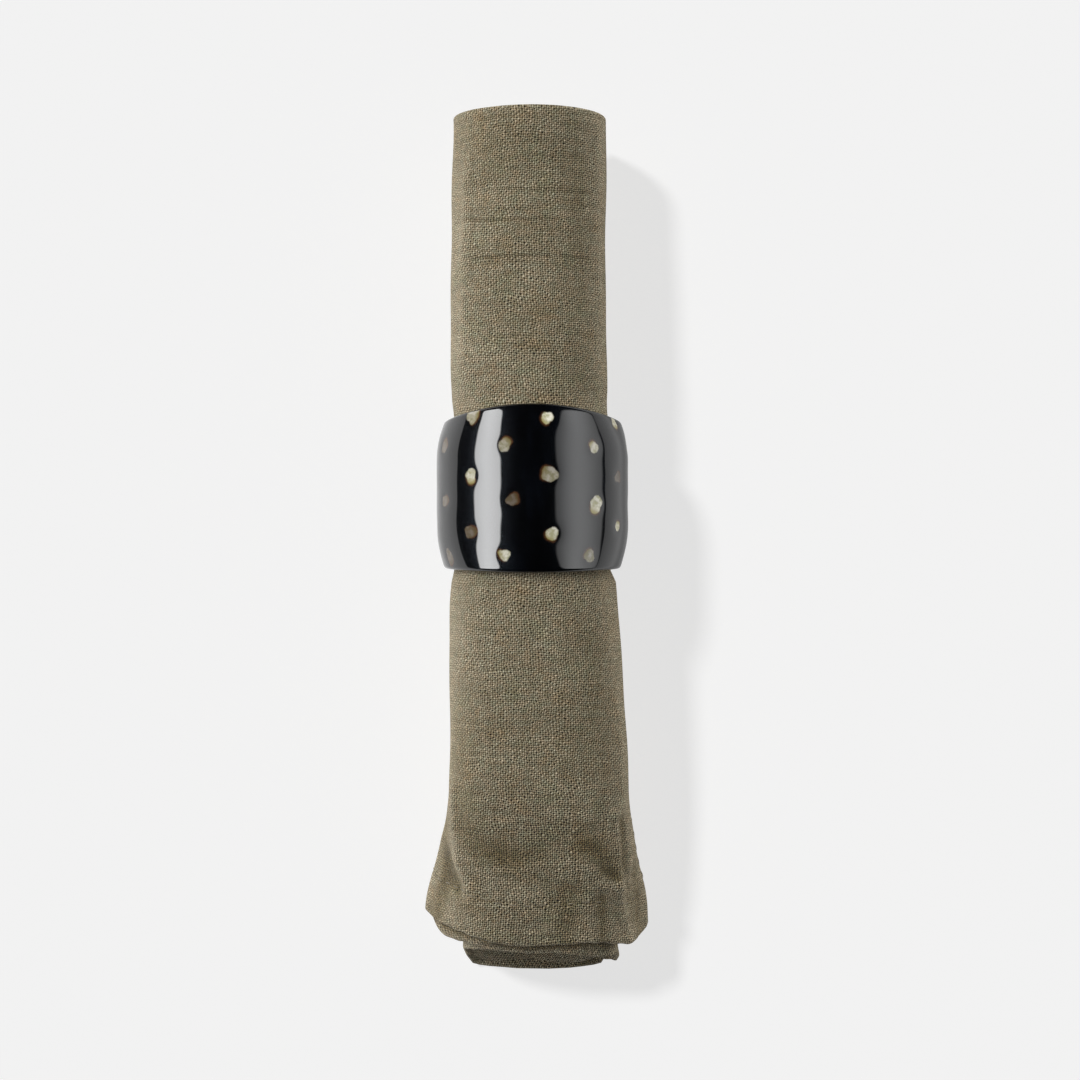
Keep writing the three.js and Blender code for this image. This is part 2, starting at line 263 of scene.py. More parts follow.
def spread(stops, gaps):
    """Values from the first stop to the last, about each stretch's gap apart."""
    values = [np.array([stops[0]])]
    for low, high, gap in zip(stops, stops[1:], gaps):
        count = max(1, round(abs(high - low) / gap))
        values.append(np.linspace(low, high, count + 1)[1:])
    return np.concatenate(values)


def turn_columns():
    """The turn of each column of the cloth's grid, and its length from the free edge."""
    turns = np.linspace(0, 6, 6001)
    radius = ROLL_RADIUS - depth_at(turns)
    length = np.concatenate([[0], np.cumsum((radius[1:] + radius[:-1]) * math.pi * np.diff(turns))])
    # The turn that shows, and a little more, is divided more finely than the rest.
    length_that_shows = np.interp(1.08, turns, length)
    at = spread([0, HEM_WIDTH + 1, length_that_shows, NAPKIN_SIDE - HEM_WIDTH, NAPKIN_SIDE],
                [1.0, 0.72, 3.6, 2.2])
    return np.interp(at, length, turns), at


def nominal_rows():
    """The rows of the grid, from the outer ply's hem over the fold to the inner ply's: how far along the
    roll each one is, and which ply it is on, from -1 for the outer one to 1 for the inner one."""
    bend = PLY_GAP / 2
    crest = FOLD_Y - CLOTH_THICKNESS / 2 - bend
    outer = spread([HEM_Y, -99.0, -52.0, crest], [0.5, 0.75, 2.9])
    inner = spread([crest, -52.0, HEM_Y], [7.0, 2.6])
    turning = np.linspace(-90, 90, 9)[1:-1]
    rows = [(y, -1.0) for y in outer]
    rows += [(crest + bend * math.cos(math.radians(a)), math.sin(math.radians(a))) for a in turning]
    rows += [(y, 1.0) for y in inner]
    return np.array(rows).T


def waves(u, y):
    """The slight unevenness of pressed and rolled linen."""
    height = np.zeros(np.broadcast(u, y).shape)
    for _ in range(14):
        across, along = rng.uniform(0.02, 0.16), rng.uniform(0.03, 0.26)
        lean = rng.choice([-1, 1])
        size = 0.055 / (0.35 + 4 * across + 2 * along)
        height += size * np.sin(across * u + lean * along * y + rng.uniform(0, 2 * math.pi))
    return height


def folds(turns, y):
    """The height of the outer turn's soft folds, and the painted light and shade on them."""
    height = np.zeros(np.broadcast(turns, y).shape)
    tone = np.zeros(height.shape)
    outline_scale = 2 * math.pi * ROLL_RADIUS / 360
    for row in FOLDS:
        fold = dict(zip(FOLD_COLUMNS, row))
        start = np.array([fold["angle_from"] * outline_scale, fold["y_from"]])
        end = np.array([fold["angle_to"] * outline_scale, fold["y_to"]])
        run = end - start
        at_x = np.degrees(angle_at(turns)) * outline_scale - start[0]
        at_y = y - start[1]
        share = np.clip((at_x * run[0] + at_y * run[1]) / (run @ run), 0, 1)
        away = np.hypot(at_x - share * run[0], at_y - share * run[1])
        near = np.exp(-((away / fold["width"]) ** 2))
        height += fold["height"] * near
        tone += fold["tone"] * near
    outer = 1 - smoothstep(turns, 0.8, 0.95)
    return height * outer, np.clip(tone, DARKEST, PALEST) * outer


def seam_at(edge):
    """How much a point lies in the furrow of the seam, by its distance from the cloth's edge."""
    return np.exp(-(((edge - STITCH_INSET) / SEAM_WIDTH) ** 2))


def unit(vectors):
    """The vectors at length 1."""
    return vectors / np.linalg.norm(vectors, axis=-1, keepdims=True)


def grid_normals(points):
    """Normals of a grid of points whose columns run round the roll and rows along it. They face out of the
    roll on the outer ply and into it on the inner one, which is the cloth's right side on both."""
    round_roll = np.gradient(points, axis=1)
    along = np.gradient(points, axis=0)
    return unit(np.cross(along, round_roll))


def cloth_grid():
    """The middle surface of the wound, folded cloth as a grid of points, with what goes with each point."""
    turns, length = turn_columns()
    nominal_y, ply = nominal_rows()
    turns, length = turns[None, :], length[None, :]
    nominal_y, ply = nominal_y[:, None], ply[:, None]
    inner_share = (ply + 1) / 2
    hem = outer_hem_at(turns) + inner_share * inner_hem_shift_at(turns)
    # No hem is quite straight.
    hem = hem + 0.12 * np.sin(length * 0.9) + 0.1 * np.sin(length * 0.37 + 1 + 2 * ply)
    share = np.clip((STRAIGHT_TO - nominal_y) / (STRAIGHT_TO - HEM_Y), 0, None)
    y = np.where(nominal_y > STRAIGHT_TO, nominal_y, STRAIGHT_TO + (hem - STRAIGHT_TO) * share)
    gap = PLY_GAP + (HEM_PLY_GAP - PLY_GAP) * smoothstep(-y, 60, 85)
    depth = depth_at(turns) + CLOTH_THICKNESS / 2 + inner_share * gap
    ear_share = ear_share_at(turns) * (1 - 0.06 * inner_share) + 0 * depth
    unfolded = roll_point(y, turns + 0 * y, depth, ear_share)
    # Folds and waves push both plies the same way, die away inwards, and give way where the ring presses.
    in_ring = smoothstep(y, -12, -5) * (1 - smoothstep(y, 35, 42))
    fold_height, painted_light_and_shade = folds(turns, y)
    relief = (waves(length, y) + fold_height) * (1 - in_ring) * -ply
    relief = relief * (1 - smoothstep(turns, 3, 5))
    points = unfolded + grid_normals(unfolded) * relief[..., None]
    points[..., 2] = np.maximum(points[..., 2], CLOTH_THICKNESS / 2)
    edge = np.minimum(y - hem, np.minimum(length, NAPKIN_SIDE - length) + 0 * y)
    # The cloth that shows beyond another layer's hem is in its shade, which is painted into its colour: an
    # outer ply beyond the next turn's hem, and the outer turn's inner ply beyond its own outer one's.
    covering_hem = np.where(ply < 0, outer_hem_at(turns - 1), outer_hem_at(turns))
    beyond_hem = covering_hem - y
    reach = 2.2 + 5.5 * np.clip(-np.sin(angle_at(turns)), 0, 1)
    crevice = smoothstep(beyond_hem, -1.5, 0.2) * (1 - smoothstep(beyond_hem, 0.3 * reach, reach))
    crevice = crevice * ((turns > 1) | (ply > 0))
    # tone adds painted shade in these crevices and in the seam's furrow to the folds' painted light and
    # shade.
    tone = np.where(ply < 0, painted_light_and_shade, 0) - CREVICE_SHADE * crevice - SEAM_SHADE * seam_at(edge)
    return {"points": points, "unfolded": unfolded, "turns": turns[0], "length": length[0],
            "crest_row": int(np.argmin(np.abs(ply))), "edge": edge, "tone": np.maximum(tone, DARKEST)}


def running_length(points, axis):
    """The distance along a grid's rows or columns, from the first one."""
    steps = np.linalg.norm(np.diff(points, axis=axis), axis=-1)
    return np.insert(np.cumsum(steps, axis=axis), 0, 0, axis=axis)


def in_layout(corners, low, high):
    """UVs from 0 to 1 put in a strip of the bake layout between two heights, with a margin at its sides."""
    margin = 0.002
    return corners * [1 - 2 * margin, high - low] + [margin, low]


def shell(grid):
    """The closed mesh of the cloth from its middle surface: its vertices, its faces, UVs for each face's
    corners, and the painted light and shade of each vertex."""
    points = grid["points"]
    normals = grid_normals(points)
    rows, columns = points.shape[:2]
    hem = 1 - smoothstep(grid["edge"], HEM_WIDTH - 0.9, HEM_WIDTH + 0.4)
    seam = seam_at(grid["edge"])
    face_out = CLOTH_THICKNESS / 2 - SEAM_DEPTH * seam + HEM_SWELL * hem
    face_in = CLOTH_THICKNESS / 2 + HEM_EXTRA * hem - SEAM_DEPTH_INSIDE * seam
    outer = points + normals * face_out[..., None]
    inner = points - normals * face_in[..., None]
    outer[..., 2] = np.maximum(outer[..., 2], TABLE_GAP)
    inner[..., 2] = np.maximum(inner[..., 2], TABLE_GAP)

    # The rim joins the two faces round the cloth's border by a row of points that stand a little beyond it.
    index = np.arange(rows * columns).reshape(rows, columns)
    border = np.concatenate([index[0, :-1], index[:-1, -1], index[-1, :0:-1], index[:0:-1, 0]])
    around = unit(np.gradient(points, axis=1))
    along = unit(np.gradient(points, axis=0))
    beyond = np.zeros_like(points)
    beyond[0] -= along[0]
    beyond[-1] += along[-1]
    beyond[:, 0] -= around[:, 0]
    beyond[:, -1] += around[:, -1]
    half = ((face_out + face_in) / 2)[..., None]
    nose = ((outer + inner) / 2 + beyond * half * 0.9).reshape(-1, 3)[border]
    nose[:, 2] = np.maximum(nose[:, 2], TABLE_GAP)
    vertices = np.concatenate([outer.reshape(-1, 3), inner.reshape(-1, 3), nose])
    tone = grid["tone"].reshape(-1)
    tone = np.concatenate([tone, tone, tone[border]])

    a, b, c, d = index[:-1, :-1], index[:-1, 1:], index[1:, 1:], index[1:, :-1]
    outer_faces = np.stack([a, d, c, b], axis=-1).reshape(-1, 4)
    inner_faces = np.stack([a, b, c, d], axis=-1).reshape(-1, 4) + rows * columns
    here = np.arange(len(border))
    following = np.roll(here, -1)
    first_nose = 2 * rows * columns
    rim_out = np.stack([border, border[following], first_nose + following, first_nose + here], axis=-1)
    rim_in = np.stack([first_nose + here, first_nose + following,
                       border[following] + rows * columns, border + rows * columns], axis=-1)
    faces = np.concatenate([outer_faces, inner_faces, rim_out, rim_in])

    # The weave's coordinates are lengths in the cloth, round the roll from its top and along it. They go on
    # over the rim.
    top_column = int(np.argmin(np.abs(grid["turns"] - TOP_TURN)))
    crest_row = grid["crest_row"]
    weave_u = running_length(grid["unfolded"], 1)
    weave_u -= weave_u[:, top_column: top_column + 1]
    weave_v = running_length(grid["unfolded"], 0)
    weave_v -= weave_v[crest_row: crest_row + 1, :]
    weave = np.stack([weave_u, weave_v], axis=-1).reshape(-1, 2)
    weave = np.concatenate([weave, weave, weave[border]])[faces]
    onward = np.zeros((rows, columns, 2))
    onward[0, :, 1], onward[-1, :, 1] = -1, 1
    onward[:, 0, 0], onward[:, -1, 0] = -1, 1
    onward = onward.reshape(-1, 2)[border] * (half.reshape(-1)[border] * 1.6)[:, None]
    onward = np.stack([onward, onward[following], onward[following], onward], axis=1)
    first_rim = len(outer_faces) + len(inner_faces)
    half_way = [[0], [0], [1], [1]]
    weave[first_rim: first_rim + len(border)] += onward * half_way
    weave[first_rim + len(border):, :2] += onward[:, :2]
    weave[first_rim + len(border):, 2:] += onward[:, :2][:, ::-1] * 2

    # The bake layout gives the outer turn's outside most of the room, and the rims a strip each.
    across = np.interp(grid["length"], [0, 135, NAPKIN_SIDE], [0.0, 0.62, 1.0])
    down = np.interp(np.arange(rows), [0, crest_row, rows - 1], [0.0, 0.78, 1.0])
    flat = np.stack(np.meshgrid(across, down), axis=-1).reshape(-1, 2)
    in_rim = np.stack([here, here + 1], axis=-1) / len(border)
    rim = np.stack(np.broadcast_arrays(in_rim[:, [0, 1, 1, 0]], [0.0, 0.0, 1.0, 1.0]), axis=-1)
    layout = np.concatenate([
        in_layout(flat[outer_faces], 0.002, 0.742),
        in_layout(flat[inner_faces - rows * columns], 0.746, 0.976),
        in_layout(rim, 0.98, 0.988),
        in_layout(rim, 0.99, 0.998),
    ])
    return vertices, faces, {"Weave": weave, "OFBake": layout}, tone


def link(piece):
    bpy.context.scene.collection.objects.link(piece)
    return piece


def make_mesh(name, vertices, faces, uvs=()):
    """A smooth mesh object in metres, from arrays in millimetres."""
    mesh = bpy.data.meshes.new(name)
    mesh.from_pydata((np.asarray(vertices) * MM).tolist(), [], [list(face) for face in faces])
    for layer, corners in dict(uvs).items():
        mesh.uv_layers.new(name=layer).data.foreach_set("uv", np.asarray(corners).ravel())
    mesh.shade_smooth()
    mesh.update()
    return link(bpy.data.objects.new(name, mesh))


def add_attribute(piece, name, values):
    """A number at each of a mesh's vertices, for its material to read."""
    piece.data.attributes.new(name, "FLOAT", "POINT").data.foreach_set("value", np.ravel(values))


def sample(field, row, column):
    """A grid's value between its rows and columns."""
    r = np.clip(int(row), 0, field.shape[0] - 2)
    c = np.clip(int(column), 0, field.shape[1] - 2)
    s, t = row - r, column - c
    low = field[r, c] * (1 - t) + field[r, c + 1] * t
    high = field[r + 1, c] * (1 - t) + field[r + 1, c + 1] * t
    return low * (1 - s) + high * s


def stitch_paths(grid):
    """The seam's four runs, along both hems and both side edges, as (row, column) positions in the cloth's
    grid."""
    rows, columns = grid["edge"].shape
    crest_row = grid["crest_row"]
    side_seams = [np.interp(length, grid["length"], np.arange(columns))
                  for length in (STITCH_INSET, NAPKIN_SIDE - STITCH_INSET)]
    runs = []
    for outer_ply in (True, False):
        run = []
        for column in np.arange(*side_seams, 0.25):
            y = grid["points"][:, int(column), 1]
            from_hem = y[:crest_row] if outer_ply else y[:crest_row:-1]
            row = np.interp(STITCH_INSET, np.abs(from_hem - from_hem[0]), np.arange(len(from_hem)))
            run.append((row if outer_ply else rows - 1 - row, column))
        runs.append(run)
    for column in side_seams:
        first, last = (min(run, key=lambda place: abs(place[1] - column))[0] for run in runs[:2])
        runs.append([(row, column) for row in np.arange(first, last, 0.25)])
    return runs


def stitches(grid):
    """One mesh of every stitch of the hem, each a short thread that dips into the cloth at both ends."""
    points, normals = grid["points"], grid_normals(grid["points"])
    vertices, faces = [], []
    for run in stitch_paths(grid):
        steps = np.arange(len(run))
        run_rows, run_columns = np.array(run).T
        line = np.array([sample(points, row, column) for row, column in run])
        length = running_length(line, 0)
        for start in np.arange(0.5, length[-1] - STITCH_LENGTH, STITCH_PITCH):
            size = STITCH_LENGTH * rng.uniform(0.9, 1.08)
            base = len(vertices)
            for where, thickness, lift in STITCH_PROFILE:
                at = np.interp(start + (0.5 + where) * size, length, steps)
                row, column = np.interp(at, steps, run_rows), np.interp(at, steps, run_columns)
                behind, ahead = (np.array([np.interp(at + step, steps, line[:, k]) for k in range(3)])
                                 for step in (-1, 1))
                up = unit(sample(normals, row, column))
                side = unit(np.cross(unit(ahead - behind), up))
                middle = sample(points, row, column) + up * (CLOTH_THICKNESS / 2 + lift)
                for k in range(STITCH_SIDES):
                    turn = 2 * math.pi * k / STITCH_SIDES
                    outwards = math.cos(turn) * side + math.sin(turn) * up * STITCH_FLATNESS
                    vertices.append(middle + STITCH_RADIUS * thickness * outwards)
            for k in range(STITCH_SIDES * (len(STITCH_PROFILE) - 1)):
                a = base + k
                b = a + 1 if (k + 1) % STITCH_SIDES else a + 1 - STITCH_SIDES
                faces.append([a, b, b + STITCH_SIDES, a + STITCH_SIDES])
            ends = np.arange(base, len(vertices)).reshape(-1, STITCH_SIDES)[[0, -1]]
            faces += [ends[0, ::-1], ends[1]]
    return np.array(vertices), faces


# ---- The ring

RING_CENTRE = np.array([-0.75, 15.5, 24.697])
RING_RADIUS = 24.75
RING_BORE = 20.6  # its radius
RING_LENGTH = 42.2
BARREL_DROP = 2.1  # how much thinner the wall is at the ends than in the middle
BARREL_REACH = 12.0  # how far from each end the barrel starts to narrow
EDGE_ROUND = 1.4  # of the outer edges
LIP_ROUND = 0.5  # of the bore's edges
FOLD_SIDE_CUT = 1.7  # the ring's ends are a little shorter at its sides than at its top
HEM_SIDE_CUT = 0.4
RING_STEPS = 300
RING_WEAR = 0.08  # how far the polished outside lies within the CAD model's

# Pale flecks in staggered rows round the ring.
FLECK_ROWS = 6
FLECK_ROW_PITCH = 7.0
FLECKS_ROUND = 7
FIRST_FLECK = math.radians(-14)  # from the top, in the rows that aren't shifted half a step
FLECK_RADIUS = 1.8
FLECK_JITTER = 1.5
DIMPLE_RADIUS = 2.1
DIMPLE_DEPTH = 0.16


def ring_profile():
    """The ring's closed profile as (radius, distance from the middle), from one end's bore to the other's."""
    half = RING_LENGTH / 2

    def barrel(from_end):
        return RING_RADIUS - BARREL_DROP * np.clip(1 - from_end / BARREL_REACH, 0, 1) ** 2

    # The end's rounding starts where it is as steep as the barrel.
    lean = 0.0
    for _ in range(8):
        starts = EDGE_ROUND * (1 - math.sin(lean))
        lean = math.atan(2 * BARREL_DROP / BARREL_REACH * (1 - starts / BARREL_REACH))
    outside = [(float(barrel(half - y)), y) for y in np.linspace(0, half - starts, 36)]
    edge = outside[-1][0] - EDGE_ROUND * math.cos(lean)
    outside += [(edge + EDGE_ROUND * math.cos(a), half - EDGE_ROUND * (1 - math.sin(a)))
                for a in np.linspace(lean, math.pi / 2, 9)[1:]]
    outside += [(r, half) for r in np.linspace(edge, RING_BORE + LIP_ROUND, 4)[1:]]
    outside += [(RING_BORE + LIP_ROUND * (1 - math.sin(a)), half - LIP_ROUND * (1 - math.cos(a)))
                for a in np.linspace(0, math.pi / 2, 7)[1:]]
    outside += [(RING_BORE, y) for y in np.linspace(half - LIP_ROUND, 0, 8)[1:]]
    mirrored = [(r, -y) for r, y in outside]
    return np.array(outside + mirrored[-2:0:-1])


def fleck_centres():
    """Where the flecks lie on the ring's unrolled outside, how big and how pale they are."""
    flecks = []
    for k in range(FLECK_ROWS):
        along = (k - (FLECK_ROWS - 1) / 2) * FLECK_ROW_PITCH
        for n in range(FLECKS_ROUND):
            at = (FIRST_FLECK + 2 * math.pi * (n + 0.5 * (k % 2)) / FLECKS_ROUND) * RING_RADIUS
            flecks.append({
                "around": at + rng.uniform(-1, 1) * FLECK_JITTER,
                "along": along + rng.uniform(-1, 1) * FLECK_JITTER * 0.8,
                "radius": FLECK_RADIUS * rng.uniform(0.7, 1.25),
                "lean": rng.uniform(0, 2 * math.pi),
                "stretch": rng.uniform(0.05, 0.17),
                "point": rng.uniform(0, 2 * math.pi),
                "pointed": rng.uniform(0.04, 0.16),
                "pale": rng.choice([1.0, 1.0, 0.9, 0.75, 0.45, 0.12]),
            })
    return flecks


def fleck_fields(around, along, flecks):
    """At each point of the ring's outside: the distance to the nearest fleck's edge, below 0 inside it, how
    pale that fleck is, which side of it the point is on, and the depth of its dimple."""
    round_length = 2 * math.pi * RING_RADIUS
    nearest = np.full(around.shape, 99.0)
    pale, side = np.zeros(around.shape), np.zeros(around.shape)
    dimple = np.zeros(around.shape)
    for fleck in flecks:
        x = (around - fleck["around"] + round_length / 2) % round_length - round_length / 2
        y = along - fleck["along"]
        reach = np.hypot(x, y)
        angle = np.arctan2(y, x)
        shape = 1 + fleck["stretch"] * np.cos(2 * (angle - fleck["lean"]))
        shape += fleck["pointed"] * np.cos(3 * (angle - fleck["point"]))
        shape += 0.05 * np.cos(5 * angle + 7 * fleck["point"])
        away = reach - fleck["radius"] * shape
        closer = away < nearest
        nearest = np.where(closer, away, nearest)
        pale = np.where(closer, fleck["pale"], pale)
        across = (x * math.cos(fleck["lean"]) + y * math.sin(fleck["lean"])) / fleck["radius"]
        side = np.where(closer, across, side)
        dimple += np.exp(-((reach / DIMPLE_RADIUS) ** 2)) * (0.7 + 0.5 * fleck["pale"])
    return nearest, pale, side, dimple


def ring_mesh():
    """The ring: a hand-finished barrel with a shallow dimple at each fleck, and a flat to rest on."""
    profile = ring_profile()
    angle = np.linspace(0, 2 * math.pi, RING_STEPS, endpoint=False)[None, :]
    radius, along = profile.T[:, :, None]
    side_cut = np.where(along > 0, FOLD_SIDE_CUT, HEM_SIDE_CUT)
    along = along * (1 - side_cut * (1 - np.cos(2 * angle)) / (RING_LENGTH / 2))
    around = angle * RING_RADIUS
    outside = smoothstep(radius, RING_BORE + 1.4, RING_BORE + 2.4)  # 0 in the bore and 1 on the outside
    nearest, pale, side, dimple = fleck_fields(around + 0 * along, along, fleck_centres())
    uneven = 0.03 * np.sin(3 * angle + 0.11 * along) + 0.016 * np.sin(7 * angle - 0.23 * along + 1)
    uneven += 0.01 * np.sin(0.75 * along + 5 * angle) + 0.007 * np.sin(13 * angle + 0.5 * along)
    radius = radius + outside * (uneven - RING_WEAR - DIMPLE_DEPTH * dimple)
    x = radius * np.sin(angle)
    z = radius * np.cos(angle)
    z = np.maximum(z, -RING_CENTRE[2])
    points = np.stack([x, along, z], axis=-1) + RING_CENTRE
    rows, columns = points.shape[:2]
    index = np.arange(rows * columns).reshape(rows, columns)
    below, right = np.roll(index, -1, axis=0), np.roll(index, -1, axis=1)
    both = np.roll(below, -1, axis=1)
    faces = np.stack([index, below, both, right], axis=-1).reshape(-1, 4)

    # The bake layout unrolls the ring once round, the profile running across it.
    reach = np.insert(np.cumsum(np.hypot(*np.diff(profile, axis=0).T)), 0, 0)
    closing = np.hypot(*(profile[0] - profile[-1]))
    across = np.append(reach, reach[-1] + closing) / (reach[-1] + closing)
    row = np.repeat(np.arange(rows), columns)
    column = np.tile(np.arange(columns), rows)
    low, high = across[row], across[row + 1]
    near, far = column / columns, (column + 1) / columns
    layout = np.stack([near, low, near, high, far, high, far, low], axis=-1).reshape(-1, 4, 2)
    piece = make_mesh("horn_ring", points.reshape(-1, 3), faces, {"OFBake": layout * 0.996 + 0.002})
    marks = np.where(outside > 0.5, nearest, 9.0)
    for name, values in (("fleck_edge", marks), ("fleck_pale", pale), ("fleck_side", side)):
        add_attribute(piece, name, np.broadcast_to(values, (rows, columns)))
    return piece


# ---- Materials


class Nodes:
    """A short way to write the nodes of their owner, a material or a world. Inputs are numbers, colours or
    other nodes' outputs."""

    def __init__(self, owner):
        owner.use_nodes = True
        self.owner = owner
        self.tree = owner.node_tree
        self.shader = self.tree.nodes.get("Principled BSDF") or self.tree.nodes["Background"]

    def put(self, socket, value):
        if isinstance(value, bpy.types.NodeSocket):
            self.tree.links.new(value, socket)
        else:
            socket.default_value = value

    def node(self, kind, inputs=(), **settings):
        made = self.tree.nodes.new(kind)
        for key, value in settings.items():
            setattr(made, key, value)
        for key, value in dict(inputs).items():
            self.put(made.inputs[key], value)
        return made

    def math(self, operation, *values):
        return self.node("ShaderNodeMath", enumerate(values), operation=operation).outputs[0]

    def hypot(self, a, b):
        return self.math("SQRT", self.math("MULTIPLY_ADD", a, a, self.product(b, b)))

    def range(self, value, low, high, to_low=0.0, to_high=1.0, smooth=True):
        """A value between low and high, put between two others. low may be the larger one."""
        inputs = {"Value": value, "From Min": low, "From Max": high, "To Min": to_low, "To Max": to_high}
        kind = "SMOOTHSTEP" if smooth else "LINEAR"
        return self.node("ShaderNodeMapRange", inputs, interpolation_type=kind).outputs["Result"]

    def mix(self, factor, a, b, blend="MIX"):
        """Two colours mixed. The node's colours are its inputs 6 and 7."""
        inputs = {0: factor, 6: a, 7: b}
        return self.node("ShaderNodeMix", inputs, data_type="RGBA", blend_type=blend).outputs[2]

    def product(self, *values):
        """Numbers multiplied together."""
        total = values[0]
        for value in values[1:]:
            total = self.math("MULTIPLY", total, value)
        return total

    def tinted(self, value, by, share=1.0):
        """A colour multiplied by a share of another."""
        return self.mix(share, value, by, "MULTIPLY")

    def vector(self, x, y, z=0.0):
        return self.node("ShaderNodeCombineXYZ", {"X": x, "Y": y, "Z": z}).outputs[0]

    def noise(self, vector, scale, detail=2.0, roughness=0.5):
        inputs = {"Vector": vector, "Scale": scale, "Detail": detail, "Roughness": roughness}
        return self.node("ShaderNodeTexNoise", inputs).outputs["Fac"]

    def attribute(self, name):
        return self.node("ShaderNodeAttribute", attribute_name=name).outputs["Fac"]

    def bump(self, height, distance, strength):
        inputs = {"Height": height, "Distance": distance, "Strength": strength}
        return self.node("ShaderNodeBump", inputs).outputs["Normal"]

    def set(self, **values):
        """Set the shader's own inputs."""
        for key, value in values.items():
            self.put(self.shader.inputs[key.replace("_", " ")], value)


def material(name):
    return Nodes(bpy.data.materials.new(name))


def grey(level):
    return (level, level, level, 1.0)


def colour(red, green, blue):
    """A colour given as it looks on a screen, from 0 to 255."""
    linear = [((v / 255 + 0.055) / 1.055) ** 2.4 if v > 10.3 else v / 255 / 12.92 for v in (red, green, blue)]
    return (*linear, 1.0)


THREAD_ROUND = 0.562  # pitch of the threads that run round the roll, in mm
THREAD_ALONG = 0.645  # pitch of the threads that run along it
# Lines of looser weave across the upper half: their distance from the folded end, and where each starts
# and stops round the roll, counted from its top towards the left.
LOOSE_LINES = [(21.3, -18.0, 4.5), (29.0, -8.0, 13.0), (38.2, -18.0, 16.0)]


def loose_lines(n, u, v):
    """How much a point of the cloth lies in one of the loose lines, from 0 to 1."""
    wobble = n.math("MULTIPLY_ADD", n.noise(n.vector(u, 0.0), 0.2, 1.0), 0.8, -0.4)
    total = 0.0
    for distance, first, last in LOOSE_LINES:
        away = n.math("ABSOLUTE", n.math("ADD", n.math("ADD", v, distance), wobble))
        across = n.range(away, 0.75, 0.25)
        ends = n.product(n.range(u, first - 4, first + 2), n.range(u, last + 4, last - 2))
        total = n.math("MAXIMUM", n.product(across, ends), total)
    return total


